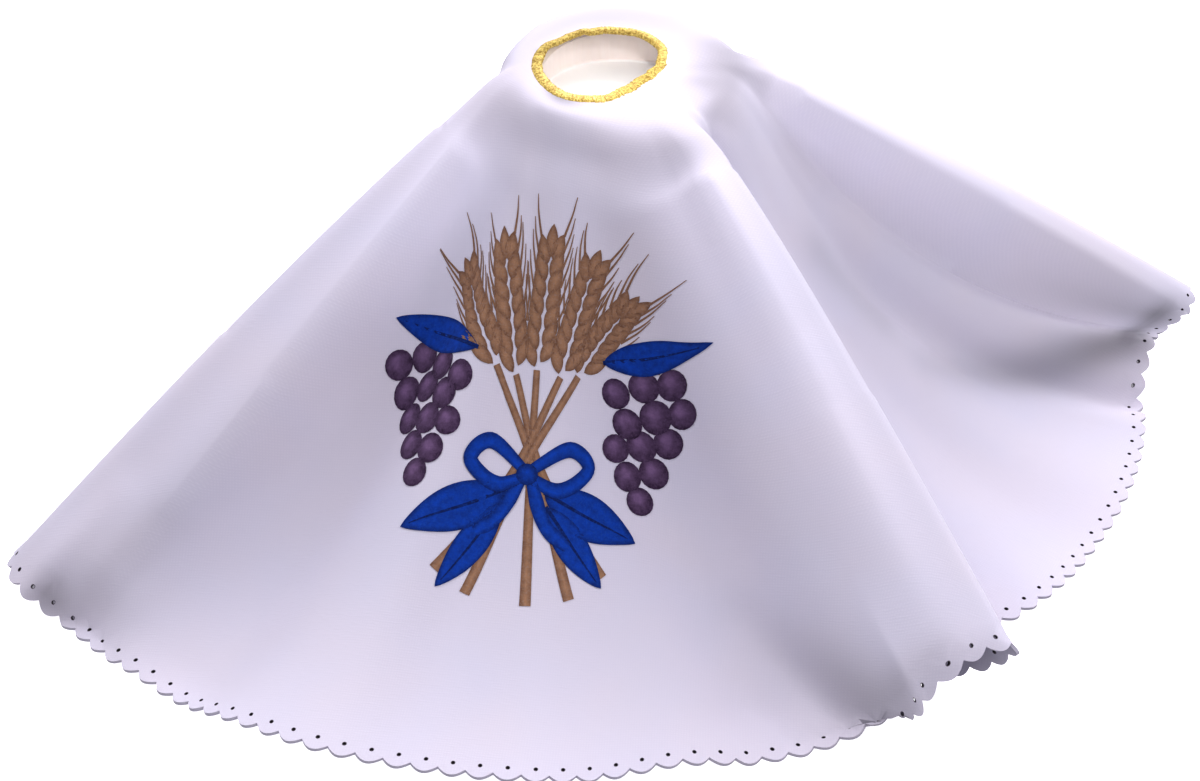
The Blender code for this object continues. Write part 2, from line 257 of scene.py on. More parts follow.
def closed_spline(rows, samples):
    """Run a smooth closed curve through rows of numbers, with knots by the distance between them"""
    rows = np.asarray(rows, float)
    count = len(rows)
    following = np.roll(rows, -1, axis=0)
    step = np.linalg.norm((following - rows)[:, :3], axis=1) ** 0.5
    system = np.zeros((count, count))
    target = np.zeros_like(rows)
    for row in range(count):
        before = step[row - 1]
        after = step[row]
        system[row, row] = 2 * (before + after)
        system[row, row - 1] += after
        system[row, (row + 1) % count] += before
        rise_before = (rows[row] - rows[row - 1]) / before
        rise_after = (following[row] - rows[row]) / after
        target[row] = 3 * (after * rise_before + before * rise_after)
    slope = np.linalg.solve(system, target)
    knots = np.concatenate([[0.0], np.cumsum(step)])
    place = np.linspace(0.0, knots[-1], samples, endpoint=False)
    span = np.searchsorted(knots, place, side="right") - 1
    width = step[span][:, None]
    t = (place - knots[span])[:, None] / width
    start = rows[span] * (2 * t**3 - 3 * t**2 + 1) + slope[span] * width * (t**3 - 2 * t**2 + t)
    after_span = (span + 1) % count
    end = rows[after_span] * (3 * t**2 - 2 * t**3) + slope[after_span] * width * (t**3 - t**2)
    return start + end


def hem_course(columns):
    """Points along the hem, evenly spaced as on the flat cloth, with each fold's start and pride"""
    table = np.array(HEM_ROWS, float)
    turn = np.radians(table[:, 0])
    degrees_past = table[:, 3] - table[:, 0]
    across = CLOTH_SHIFT + table[:, 1] * np.cos(turn)
    back = table[:, 1] * np.sin(turn)
    rows = np.stack([across, back, table[:, 2], degrees_past, table[:, 4] * PROUD_SCALE], axis=1)
    dense = closed_spline(rows, HEM_SAMPLES)
    dense[:, 2] = np.maximum(dense[:, 2], 0.0) + LIFT
    loop = np.vstack([dense, dense[:1]])
    pace = np.linalg.norm(np.diff(loop[:, :3], axis=0), axis=1)
    along = np.concatenate([[0.0], np.cumsum(pace)])
    places = np.linspace(0.0, along[-1], columns, endpoint=False)
    course = np.stack([np.interp(places, along, loop[:, axis]) for axis in range(5)], axis=1)
    proud = np.clip(course[:, 4:] / PROUD_SCALE, 0.0, 1.0)
    plan_turn = np.arctan2(course[:, 1], course[:, 0] - CLOTH_SHIFT)
    start = plan_turn + np.radians(course[:, 3])
    return course[:, :3], start, proud


def hole_reach(turn):
    """Distance from the axis to the band's outer edge at plan angles in radians"""
    table = np.array(HOLE_ROWS, float)
    centred = np.degrees(turn) % 360.0
    angles = np.concatenate([table[:, 0], [table[0, 0] + 360.0]])
    reaches = np.concatenate([table[:, 1], [table[0, 1]]])
    span = np.searchsorted(angles, centred, side="right") - 1
    share = (centred - angles[span]) / (angles[span + 1] - angles[span])
    eased = 0.5 - 0.5 * np.cos(pi * share)
    return reaches[span] + (reaches[span + 1] - reaches[span]) * eased


def crown_point(turn, radius):
    """A point of the crown for folds that leave the rim at some plan angles, and one flat radius"""
    direction = np.stack([np.cos(turn), np.sin(turn)], axis=1)
    band_edge = hole_reach(turn)
    hole_centre = np.array([CLOTH_SHIFT, 0.0])
    band = hole_centre + direction * (band_edge - max(BAND_RADIUS - radius, 0.0))[:, None]
    share = max(radius - BAND_RADIUS, 0.0) / (RIM_RADIUS - BAND_RADIUS)
    plan = band + (direction * RIM_RADIUS - band) * share
    puff = BACK_PUFF * share * np.maximum(direction[:, 1:], 0.0)
    height = CROWN_HEIGHT + CROWN_SLOPE * plan[:, 1:] + puff
    return np.hstack([plan, height])


def quadratic(start, middle, end, t):
    return (1 - t) ** 2 * start + 2 * t * (1 - t) * middle + t**2 * end


def curve_lengths(start, middle, end, steps):
    """Distance run along each column's fold curve at evenly spaced parameters"""
    t = np.linspace(0.0, 1.0, steps)[:, None, None]
    points = quadratic(start, middle, end, t)
    pace = np.linalg.norm(np.diff(points, axis=0), axis=2)
    return np.concatenate([np.zeros((1, len(start))), np.cumsum(pace, axis=0)])


def fold_knees(rim, hem, proud):
    """The middle control point of each fold: below the straight line by the cloth's slack, or proud"""
    cloth_left = HEM_RADIUS - np.hypot(rim[:, 0] - CLOTH_SHIFT, rim[:, 1])
    chord = hem - rim
    unit = chord / np.linalg.norm(chord, axis=1)[:, None]
    level = unit * np.array([1.0, 1.0, 0.0])
    level = level / np.linalg.norm(level, axis=1)[:, None]
    run = np.hypot(unit[:, 0], unit[:, 1])
    down_and_in = np.stack([level[:, 0] * unit[:, 2], level[:, 1] * unit[:, 2], -run], axis=1)
    low = np.zeros(len(rim))
    high = np.full(len(rim), MOST_SAG)
    for halving in range(SAG_HALVINGS):
        sag = (low + high) / 2
        knee = rim + SAG_AT * chord + down_and_in * sag[:, None]
        knee[:, 2] = np.maximum(knee[:, 2], hem[:, 2])
        short = curve_lengths(rim, knee, hem, CURVE_STEPS)[-1] < cloth_left
        low = np.where(short, sag, low)
        high = np.where(short, high, sag)
    proud_knee = rim + PUFF_AT * chord - down_and_in * PUFF_RISE
    return knee * (1 - proud) + proud_knee * proud


def flat_place(angle, radius):
    """Where a place was on the flat cloth, across and along, in millimetres"""
    turn = np.radians(angle)
    return np.stack([radius * np.sin(turn), radius * np.cos(turn)], axis=-1)


def along_lines(rows, angle, radius):
    """What a table of lines adds up to at places on the flat cloth, most at the middle of each line"""
    here = flat_place(angle, radius)
    total = np.zeros(here.shape[:-1])
    for from_angle, from_radius, to_angle, to_radius, width, last_width, rise, last_rise in rows:
        start = flat_place(from_angle, from_radius)
        line = flat_place(to_angle, to_radius) - start
        share = np.clip((here - start) @ line / (line @ line), 0.0, 1.0)
        away = np.linalg.norm(here - start - share[..., None] * line, axis=-1)
        wide = width + (last_width - width) * share
        total += (rise + (last_rise - rise) * share) * np.exp(-((away / wide) ** 2))
    return total


class Drape:
    """The cloth's middle surface as a table of points, a row for each radius of the flat cloth"""

    def __init__(self):
        self.hem, self.turn, proud = hem_course(COLUMNS)
        self.rim = crown_point(self.turn, RIM_RADIUS)
        self.knee = fold_knees(self.rim, self.hem, proud)
        self.run = curve_lengths(self.rim, self.knee, self.hem, CURVE_STEPS)
        self.radii = np.arange(FIRST_RADIUS, CLOTH_RADIUS + 1.2 * RADIUS_STEP, RADIUS_STEP)
        self.points = np.stack([self.circle(radius) for radius in self.radii])
        self.crease()
        self.normals = self.find_normals()

    def crease(self):
        """Push the sheet in and out along the creases, never into the stand's cup or the table"""
        angles, radii = np.meshgrid(np.arange(COLUMNS) * 360.0 / COLUMNS, self.radii)
        height = along_lines(CREASES, angles, radii)
        deepest = np.interp(radii, (RIM_RADIUS, RIM_RADIUS + FREE_BEYOND_RIM), (RIM_SPARE, FREE_DEPTH))
        height = np.maximum(height, 0.0) - deepest * np.tanh(np.maximum(-height, 0.0) / deepest)
        self.points = self.points + self.find_normals() * height[..., None]
        self.points[..., 2] = np.maximum(self.points[..., 2], LIFT)

    def fall_point(self, radius):
        """Points past the rim, placed along each fold by their share of its length"""
        share = min((radius - RIM_RADIUS) / (HEM_RADIUS - RIM_RADIUS), 1.0)
        marks = np.linspace(0.0, 1.0, CURVE_STEPS)
        t = np.array([np.interp(share * run[-1], run, marks) for run in self.run.T])[:, None]
        points = quadratic(self.rim, self.knee, self.hem, t)
        if radius > HEM_RADIUS:
            ahead = self.hem - self.knee
            ahead = ahead / np.linalg.norm(ahead, axis=1)[:, None]
            points = points + ahead * (radius - HEM_RADIUS)
            points[:, 2] = np.maximum(points[:, 2], LIFT)
        return points

    def circle(self, radius):
        """One ring of points at a radius of the flat cloth, rounded over where the crown turns down"""
        inner = RIM_RADIUS - RIM_ROUNDING
        outer = RIM_RADIUS + RIM_ROUNDING
        if radius <= inner:
            return crown_point(self.turn, radius)
        if radius >= outer:
            return self.fall_point(radius)
        t = (radius - inner) / (outer - inner)
        return quadratic(crown_point(self.turn, inner), self.rim, self.fall_point(outer), t)

    def find_normals(self):
        outward = np.gradient(self.points, axis=0)
        around = np.roll(self.points, -1, axis=1) - np.roll(self.points, 1, axis=1)
        normals = np.cross(outward, around)
        return normals / np.maximum(np.linalg.norm(normals, axis=2), 1e-9)[..., None]

    def place(self, angle, radius, rise=0.0):
        """Points of the draped cloth for places on the flat cloth, raised along the cloth's normal"""
        column = np.asarray(angle, float) % 360.0 / 360.0 * COLUMNS
        row = (np.asarray(radius, float) - FIRST_RADIUS) / RADIUS_STEP
        row = np.clip(row, 0.0, len(self.radii) - 1.001)
        low_row = row.astype(int)
        low_column = np.floor(column).astype(int) % COLUMNS
        next_column = (low_column + 1) % COLUMNS
        down = (row - low_row)[..., None]
        along = (column - np.floor(column))[..., None]

        def blended(table):
            near = table[low_row, low_column] * (1 - along) + table[low_row, next_column] * along
            far = table[low_row + 1, low_column] * (1 - along) + table[low_row + 1, next_column] * along
            return near * (1 - down) + far * down

        return blended(self.points) + blended(self.normals) * np.asarray(rise)[..., None]


def flat_uv(angle, radius):
    """Texture coordinates: the flat cloth seen with the printed panel towards the viewer"""
    place = flat_place(np.asarray(angle, float) - MOTIF_ANGLE, np.asarray(radius, float))
    return place / FLAT_SPAN + 0.5


class Shape:
    """Corners, faces and texture places of one mesh, gathered piece by piece"""

    def __init__(self):
        self.points = []
        self.uvs = []
        self.tones = []
        self.faces = []
        self.slots = []

    def add(self, points, uvs, tones):
        """Add corners and say at which number they start"""
        first = len(self.points)
        self.points.extend(np.asarray(points, float).reshape(-1, 3))
        self.uvs.extend(np.asarray(uvs, float).reshape(-1, 2))
        self.tones.extend(np.broadcast_to(tones, len(self.points) - first))
        return first

    def face(self, corners, slot=0):
        self.faces.append(tuple(corners))
        self.slots.append(slot)

    def grid(self, first, rows, columns, closed, slot=0):
        """Faces over corners that lie row by row, closed round each row if asked"""
        for row in range(rows - 1):
            for column in range(columns if closed else columns - 1):
                beside = (column + 1) % columns
                low = first + row * columns
                high = low + columns
                self.face((low + column, high + column, high + beside, low + beside), slot)

    def turn_over(self):
        """Point every face the other way"""
        self.faces = [corners[::-1] for corners in self.faces]

    def make(self, name, materials, tone_name):
        """Make the object, with its flat texture map and one tone for each corner"""
        mesh = bpy.data.meshes.new(name)
        mesh.from_pydata([tuple(point * METRES) for point in self.points], [], self.faces)
        for material in materials:
            mesh.materials.append(material)
        mesh.polygons.foreach_set("material_index", self.slots)
        corner_of = np.zeros(len(mesh.loops), int)
        mesh.loops.foreach_get("vertex_index", corner_of)
        uv_layer = mesh.uv_layers.new(name="flat_cloth")
        uv_layer.data.foreach_set("uv", np.array(self.uvs)[corner_of].ravel())
        tone = mesh.attributes.new(tone_name, "FLOAT", "POINT")
        tone.data.foreach_set("value", np.array(self.tones, np.float32))
        mesh.shade_smooth()
        mesh.update()
        thing = bpy.data.objects.new(name, mesh)
        bpy.context.scene.collection.objects.link(thing)
        return thing


# Zones of the cloth's mesh: the flat radius where each starts, its rings and its column step. Past
# them lie the scallops' patches, whose sides have a corner at two radii.
ZONES = (
    # start, rings, step
    (HOLE_RADIUS, 22, 8),
    (60.0, 34, 4),
    (142.0, 27, 2),
)
PATCH_START = 216.2
PATCH_STEP = 2
PATCH_SIDES = (218.4, 220.7)
SHARP_ANGLE = 50.0


def scallop_radius(step):
    """Radius of the cloth's edge at a column of one scallop, from its first notch to the next"""
    half_pitch = pi * HEM_RADIUS / SCALLOPS
    centre = CLOTH_RADIUS - SCALLOP_ROUND
    widest = asin(half_pitch / SCALLOP_ROUND)
    return centre + SCALLOP_ROUND * cos(widest * (2 * step / PER_SCALLOP - 1))


def add_ring(shape, drape, radii, step):
    """Corners at every so many columns, at one flat radius or a radius for each"""
    angles = np.arange(0, COLUMNS, step) * COLUMN_ANGLE
    radii = np.broadcast_to(radii, angles.shape)
    return shape.add(drape.place(angles, radii), flat_uv(angles, radii), 0.0)


def add_zones(shape, drape):
    """Rings of faces from the hole out to the patches, with twice the columns at each new zone"""
    rings = []
    for zone, (start, count, step) in enumerate(ZONES):
        is_last = zone == len(ZONES) - 1
        end = PATCH_START if is_last else ZONES[zone + 1][0]
        for radius in np.linspace(start, end, count, endpoint=is_last):
            rings.append((radius, step))
    starts = [add_ring(shape, drape, radius, step) for radius, step in rings]
    for ring in range(len(rings) - 1):
        count = COLUMNS // rings[ring][1]
        first, second = starts[ring], starts[ring + 1]
        widens = rings[ring + 1][1] < rings[ring][1]
        for column in range(count):
            beside = (column + 1) % count
            if widens:
                outer = [second + (2 * column + extra) % (2 * count) for extra in range(3)]
                shape.face((first + column, outer[0], outer[1]))
                shape.face((first + column, outer[1], first + beside))
                shape.face((first + beside, outer[1], outer[2]))
            else:
                shape.face((first + column, second + column, second + beside, first + beside))
    return starts[-1]


def add_scallops(shape, drape, last_ring):
    """A patch for each scallop, from the last ring out to the edge, round a pinhole in its middle"""
    edge_radii = np.array([scallop_radius(column % PER_SCALLOP) for column in range(COLUMNS)])
    edge = add_ring(shape, drape, edge_radii, 1)
    sides = [add_ring(shape, drape, radius, PER_SCALLOP) for radius in PATCH_SIDES]
    middle = PER_SCALLOP // 2
    outward = range(PER_SCALLOP, -1, -1)
    places = [(step, PATCH_START) for step in range(0, PER_SCALLOP + 1, PATCH_STEP)]
    places += [(PER_SCALLOP, radius) for radius in PATCH_SIDES]
    places += [(step, scallop_radius(step)) for step in outward]
    places += [(0, radius) for radius in reversed(PATCH_SIDES)]
    pace = radians(COLUMN_ANGLE) * HEM_RADIUS
    lean = [np.arctan2(radius - HEM_RADIUS, (step - middle) * pace) for step, radius in places]
    low_count = COLUMNS // PATCH_STEP
    for scallop in range(SCALLOPS):
        first = PER_SCALLOP * scallop
        low = [last_ring + (first // PATCH_STEP + extra) % low_count for extra in range(middle + 1)]
        right = [side + (scallop + 1) % SCALLOPS for side in sides]
        top = [edge + (first + step) % COLUMNS for step in outward]
        left = [side + scallop for side in reversed(sides)]
        border = low + right + top + left
        loops = []
        # The tone is 1 at each pinhole's edge and 0 at its rim: the fabric darkens the cloth there as
        # painted shade of the hole.
        for round_radius, tone in ((PINHOLE_RADIUS, 1.0), (PINHOLE_RIM, 0.0)):
            angles = (first + middle + round_radius * np.cos(lean) / pace) * COLUMN_ANGLE
            radii = HEM_RADIUS + round_radius * np.sin(lean)
            loops.append(shape.add(drape.place(angles, radii), flat_uv(angles, radii), tone))
        hole, rim = loops
        for corner in range(len(border)):
            beside = (corner + 1) % len(border)
            shape.face((hole + corner, hole + beside, rim + beside, rim + corner))
            shape.face((rim + corner, rim + beside, border[beside], border[corner]))


def paint_fold_shading(cloth, uvs):
    """Write down for each corner the share of its colour that the table takes away: painted shade in the
    folds, and painted highlight where the share is below 0
    """
    flat = (np.array(uvs) - 0.5) * FLAT_SPAN
    angles = np.degrees(np.arctan2(flat[:, 0], flat[:, 1])) + MOTIF_ANGLE
    radii = np.hypot(flat[:, 0], flat[:, 1])
    shade = np.clip(along_lines(PAINTED_SHADES, angles, radii), BRIGHTEST_PAINTED_HIGHLIGHT, DEEPEST_PAINTED_SHADE)
    painted_shade_and_highlight = cloth.data.attributes.new("painted_shade_and_highlight", "FLOAT", "POINT")
    painted_shade_and_highlight.data.foreach_set("value", shade.astype(np.float32))


def make_cloth(drape, material):
    """The whole sheet, with its thickness and its punched hem"""
    shape = Shape()
    last_ring = add_zones(shape, drape)
    add_scallops(shape, drape, last_ring)
    cloth = shape.make("cloth_sheet", [material], "punched")
    paint_fold_shading(cloth, shape.uvs)
    solidify = cloth.modifiers.new("thickness", "SOLIDIFY")
    solidify.thickness = SHEET_THICKNESS * METRES
    solidify.offset = 0.0
    bpy.ops.object.select_all(action="DESELECT")
    bpy.context.view_layer.objects.active = cloth
    cloth.select_set(True)
    bpy.ops.object.modifier_apply(modifier=solidify.name)
    bpy.ops.object.shade_smooth_by_angle(angle=radians(SHARP_ANGLE))
    return cloth


def angle_of_fold(drape, turns):
    """Flat cloth angles of the folds that leave the rim at plan angles in degrees"""
    order = np.unwrap(drape.turn)
    angles = np.arange(COLUMNS) * 360.0 / COLUMNS
    wanted = (np.asarray(turns, float) - np.degrees(order[0])) % 360.0 + np.degrees(order[0])
    return np.interp(wanted, np.degrees(order), angles)


# The stitches: corners along each and round its section, and how far their reach and rise stray.
PER_STITCH = 4
STITCH_SECTION = 16
REACH_FAULT = 0.09
RISE_FAULT = 0.05
STITCH_RISE = 0.8
THREAD_RISE = 0.16
STITCH_SPREAD = 0.12
NEAR_SHARE = 0.2
STITCH_SLANT = 0.9
STITCH_TURN_SPAN = 120.0


def make_stitching(drape, material):
    """Satin stitches that wrap the hole's edge, each a rounded ridge with its own small faults"""
    rng = np.random.default_rng(5)
    around = STITCHES * PER_STITCH
    section = np.linspace(0.0, 2 * pi, STITCH_SECTION, endpoint=False)
    turns = np.arange(around) * 360.0 / around
    angles = angle_of_fold(drape, turns)
    reach_fault = np.repeat(rng.normal(0.0, REACH_FAULT, STITCHES), PER_STITCH)
    rise_fault = np.repeat(rng.normal(0.0, RISE_FAULT, STITCHES), PER_STITCH)
    tone = np.repeat(rng.uniform(0.0, 1.0, STITCHES), PER_STITCH)
    thread = np.abs(np.sin(pi * (np.arange(around) % PER_STITCH + 0.5) / PER_STITCH))
    widened = 1 - NEAR_SHARE * np.sin(np.radians(turns))
    half_width = (BAND_WIDTH / 2 + STITCH_SPREAD) * widened + reach_fault
    half_height = STITCH_RISE + rise_fault + THREAD_RISE * thread
    shape = Shape()
    middle = BAND_RADIUS - BAND_WIDTH / 2
    for lean in section:
        out = cos(lean)
        up = sin(lean)
        flatness = np.sign(up) * abs(up) ** 0.7
        radii = middle + half_width * np.sign(out) * abs(out) ** 0.8
        points = drape.place(angles + STITCH_SLANT * out, radii, half_height * flatness)
        place = np.stack([turns / 360.0 * STITCH_TURN_SPAN, np.full(around, lean / (2 * pi))], axis=1)
        shape.add(points, place, tone)
    shape.grid(0, len(section), around, True)
    last = (len(section) - 1) * around
    for column in range(around):
        beside = (column + 1) % around
        shape.face((last + column, column, beside, last + beside))
    shape.turn_over()
    return shape.make("hole_stitching", [material], "thread_tone")


def print_row(shape, drape, flat, tone, layer):
    """Add one row of ink corners at places in flat millimetres, and say at which number it starts"""
    angles = MOTIF_ANGLE + np.degrees(np.arctan2(flat[:, 0], flat[:, 1]))
    radii = np.hypot(flat[:, 0], flat[:, 1])
    points = drape.place(angles, radii, INK_RISE + INK_LAYER * layer)
    return shape.add(points, flat / FLAT_SPAN + 0.5, tone)


def print_patch(shape, drape, centre, outline, tones, slot, layer=0):
    """Print a filled spot: rings of corners from a centre out to its outline, in flat millimetres"""
    centre = np.asarray(centre, float)
    outline = np.asarray(outline, float)
    count = len(outline)
    starts = []
    for share, tone in zip(np.linspace(0.0, 1.0, len(tones)), tones):
        flat = centre + (outline - centre) * max(share, 0.02)
        starts.append(print_row(shape, drape, flat, tone, layer))
    shape.grid(starts[0], len(tones), count, True, slot)
    shape.face(range(starts[0], starts[0] + count), slot)


def round_outline(centre, radius, squash=1.0, lean=0.0, corners=18):
    turns = np.linspace(0.0, 2 * pi, corners, endpoint=False)
    across = radius * np.cos(turns)
    down = radius * squash * np.sin(turns)
    tilt = radians(lean)
    x = centre[0] + across * cos(tilt) - down * sin(tilt)
    y = centre[1] + across * sin(tilt) + down * cos(tilt)
    return np.stack([x, y], axis=1)


def drop_outline(base, tip, width, corners=10):
    """Outline of a pointed oval from its base to its tip, such as a grain or a leaf"""
    base = np.asarray(base, float)
    tip = np.asarray(tip, float)
    line = tip - base
    side = np.array([-line[1], line[0]]) / np.linalg.norm(line)
    share = np.linspace(0.0, 1.0, corners)
    bulge = width / 2 * np.sin(pi * share) ** 0.75 * (1.18 - 0.36 * share)
    one = base + share[:, None] * line + side * bulge[:, None]
    other = base + share[:, None] * line - side * bulge[:, None]
    return np.vstack([one, other[-2:0:-1]])


def bent_line(points, samples):
    """A smooth open curve through a few points, by a blend of the parabolas at each pair"""
    points = np.asarray(points, float)
    padded = np.vstack([2 * points[0] - points[1], points, 2 * points[-1] - points[-2]])
    made = []
    spans = len(points) - 1
    for place in np.linspace(0.0, spans - 1e-6, samples):
        span = int(place)
        t = place - span
        a, b, c, d = padded[span:span + 4]
        made.append(0.5 * (2 * b + (c - a) * t + (2 * a - 5 * b + 4 * c - d) * t**2
                           + (3 * b - a - 3 * c + d) * t**3))
    return np.array(made)


def print_ribbon(shape, drape, points, widths, tones, slot, samples=36, layer=0):
    """Print a line of changing width along a smooth curve, in flat millimetres"""
    line = bent_line(points, samples)
    ahead = np.gradient(line, axis=0)
    side = np.stack([-ahead[:, 1], ahead[:, 0]], axis=1)
    side = side / np.linalg.norm(side, axis=1)[:, None]
    marks = np.linspace(0.0, 1.0, samples)
    width = np.interp(marks, np.linspace(0.0, 1.0, len(widths)), widths)
    starts = []
    for across, tone in zip(np.linspace(-0.5, 0.5, len(tones)), tones):
        flat = line + side * (across * width)[:, None]
        starts.append(print_row(shape, drape, flat, tone, layer))
    shape.grid(starts[0], len(tones), samples, False, slot)


BRONZE, VIOLET, BLUE = 0, 1, 2

# The stalks of the sheaf: the points each runs through, its foot first, and then its ear's tip.
STALKS = (
    ((4, 171), (1, 132), (0, 104), (2, 64)),
    ((17, 168), (3, 133), (-14, 104), (-31, 75)),
    ((-15, 169), (-2, 133), (14, 104), (30, 78)),
    ((27, 161), (5, 133), (-7, 106), (-15, 67)),
    ((-25, 163), (-4, 132), (8, 105), (17, 68)),
)

# Grapes of the two bunches that hang beside the stalks: centre across and down, and radius.
GRAPES = (
    # across, down, radius
    (-52, 103, 4.6), (-43, 101, 4.9), (-34, 104, 4.8), (-25.5, 108, 4.5),
    (-48, 111, 4.8), (-39, 110, 5.0), (-30.5, 113, 4.7),
    (-44, 119, 4.7), (-35.5, 120, 4.9), (-27.5, 121, 4.3),
    (-40, 127.5, 4.6), (-32, 129, 4.5), (-36, 136, 4.2),
    (27, 107, 4.6), (35.5, 103, 4.9), (44, 101, 4.7),
    (31.5, 115, 4.8), (40, 111, 5.0), (48, 109, 4.4),
    (28.5, 123, 4.4), (36.5, 120.5, 4.8), (44.5, 118, 4.6),
    (33, 130.5, 4.4), (41, 127.5, 4.6), (37.5, 137, 4.2),
)

# Leaves and ribbon ends: base, tip and width, on the flat cloth.
LEAVES = (
    ((-6, 138), (-37, 152), 13),
    ((-7, 142), (-24, 168), 10),
    ((6, 138), (37, 150), 13),
    ((7, 142), (27, 164), 10),
    ((-20, 100), (-54, 90), 10),
    ((22, 99), (52, 89), 10),
)


# The bow's two loops and its two ends.
RIBBONS = (
    ((0, 133), (-13, 125), (-19, 131), (-10, 137), (0, 134)),
    ((0, 133), (13, 125), (20, 130), (11, 137), (0, 134)),
    ((-1, 134), (-8, 146), (-15, 151)),
    ((1, 134), (7, 147), (15, 153)),
)
RIBBON_WIDTHS = (3.0, 4.6, 4.2, 4.6, 3.0)

# The twigs that the bunches hang from.
TWIGS = (
    ((-20, 99), (-30, 97), (-40, 99)),
    ((22, 98), (31, 97), (40, 98)),
)

GRAIN_PAIRS = 7
GRAIN_TONES = (0.95, 0.75, 0.2)


def print_ear(shape, drape, rng, neck, tip):
    """One ear of wheat: pairs of grains up the stalk, a whisker from each, and a last grain on top"""
    neck = np.array(neck, float)
    tip = np.array(tip, float)
    length = np.linalg.norm(tip - neck)
    ahead = (tip - neck) / length
    side = np.array([-ahead[1], ahead[0]])
    for pair in range(GRAIN_PAIRS):
        base = neck + ahead * (length * (0.02 + 0.12 * pair))
        for hand in (-1, 1):
            reach = ahead * 8.5 + side * hand * (4.3 - 0.25 * pair)
            start = base + side * hand * 0.9 + ahead * (1.6 if hand > 0 else 0.0)
            grain = drop_outline(start, start + reach * rng.uniform(0.93, 1.05), 4.0)
            print_patch(shape, drape, grain.mean(axis=0), grain, GRAIN_TONES, BRONZE)
            whisker = start + reach
            end = whisker + ahead * rng.uniform(8.0, 12.0) + side * hand * 2.6
            bend = (whisker + end) / 2 + side * hand * 0.5
            hair = (whisker - ahead, bend, end)
            print_ribbon(shape, drape, hair, (0.7, 0.45, 0.2), (0.4, 0.4), BRONZE, 10)
    last = drop_outline(tip - ahead * 8.0, tip + ahead * 1.5, 3.8)
    print_patch(shape, drape, last.mean(axis=0), last, GRAIN_TONES, BRONZE)


def print_leaf(shape, drape, base, tip, width):
    """A pointed blue leaf with a dark vein along its middle"""
    leaf = drop_outline(base, tip, width, 24)
    print_patch(shape, drape, leaf.mean(axis=0), leaf, (0.9, 0.8, 0.7, 0.8, 0.75, 0.15), BLUE, 2)
    base = np.array(base, float)
    tip = np.array(tip, float)
    vein = (base, (base + tip) / 2, base + 0.92 * (tip - base))
    print_ribbon(shape, drape, vein, (1.2, 0.8, 0.3), (0.0, 0.0), BLUE, 24, 3)


def make_print(drape, inks):
    """The printed sheaf of wheat with two bunches of grapes, leaves and a tied ribbon"""
    rng = np.random.default_rng(11)
    shape = Shape()
    for foot, waist, neck, tip in STALKS:
        print_ribbon(shape, drape, (foot, waist, neck), (3.4, 2.6, 2.1), (0.2, 0.9, 0.35), BRONZE)
        print_ear(shape, drape, rng, neck, tip)
    for twig in TWIGS:
        print_ribbon(shape, drape, twig, (1.2, 1.6, 1.0), (0.3, 0.7), BRONZE, 14)
    for base, tip, width in LEAVES:
        print_leaf(shape, drape, base, tip, width)
    for across, down, radius in GRAPES:
        outline = round_outline((across, down), radius, rng.uniform(0.92, 1.04), rng.uniform(-30, 30))
        glint = (across - 0.3 * radius, down - 0.3 * radius)
        print_patch(shape, drape, glint, outline, (1.0, 0.85, 0.45, 0.2, 0.0), VIOLET)
    for ribbon in RIBBONS:
        print_ribbon(shape, drape, ribbon, RIBBON_WIDTHS, (0.2, 0.95, 0.75, 0.15), BLUE, 40, 4)
    knot = round_outline((0, 133.5), 3.6, 0.85)
    print_patch(shape, drape, (0, 133), knot, (0.95, 0.6, 0.1), BLUE, 5)
    shape.turn_over()
    return shape.make("printed_sheaf", inks, "ink_tone")


class NodeMaker:
    """Adds nodes to one material, each with its values set and its inputs joined"""

    def __init__(self, name):
        self.material = bpy.data.materials.new(name)
        self.material.use_nodes = True
        self.tree = self.material.node_tree
        self.surface = self.tree.nodes["Principled BSDF"]

    def node(self, kind, settings=None, **inputs):
        made = self.tree.nodes.new(kind)
        for name, value in (settings or {}).items():
            setattr(made, name, value)
        for name, value in inputs.items():
            self.join(made, name.replace("_", " "), value)
        return made

    def join(self, made, name, value):
        """Link an output to the named input, or set the input to a plain value"""
        socket = made.inputs[int(name)] if name.isdigit() else made.inputs[name]
        if isinstance(value, bpy.types.NodeSocket):
            self.tree.links.new(value, socket)
        else:
            socket.default_value = value

    def maths(self, operation, first, second=0.0):
        made = self.node("ShaderNodeMath", {"operation": operation})
        self.join(made, "0", first)
        self.join(made, "1", second)
        return made.outputs[0]

    def mix(self, share, first, second, blend="MIX"):
        made = self.node("ShaderNodeMix", {"data_type": "RGBA", "blend_type": blend})
        self.join(made, "0", share)
        self.join(made, "6", first)
        self.join(made, "7", second)
        return made.outputs[2]

    def noise(self, vector, scale, detail=2.0, roughness=0.5):
        made = self.node("ShaderNodeTexNoise", Vector=vector, Scale=scale, Detail=detail,
                         Roughness=roughness)
        return made.outputs["Fac"]

    def ramp(self, value, low, high):
        made = self.node("ShaderNodeMapRange", Value=value)
        self.join(made, "From Min", low)
        self.join(made, "From Max", high)
        return made.outputs["Result"]

    def attribute(self, name):
        return self.node("ShaderNodeAttribute", {"attribute_name": name}).outputs["Fac"]


def flat_millimetres(maker, stretch=(1.0, 1.0, 1.0)):
    """The flat cloth's own millimetres as a vector, stretched if asked"""
    place = maker.node("ShaderNodeUVMap", {"uv_map": "flat_cloth"})
    scale = tuple(FLAT_SPAN * value for value in stretch)
    mapping = maker.node("ShaderNodeMapping", Vector=place.outputs["UV"], Scale=scale)
    return mapping.outputs["Vector"]


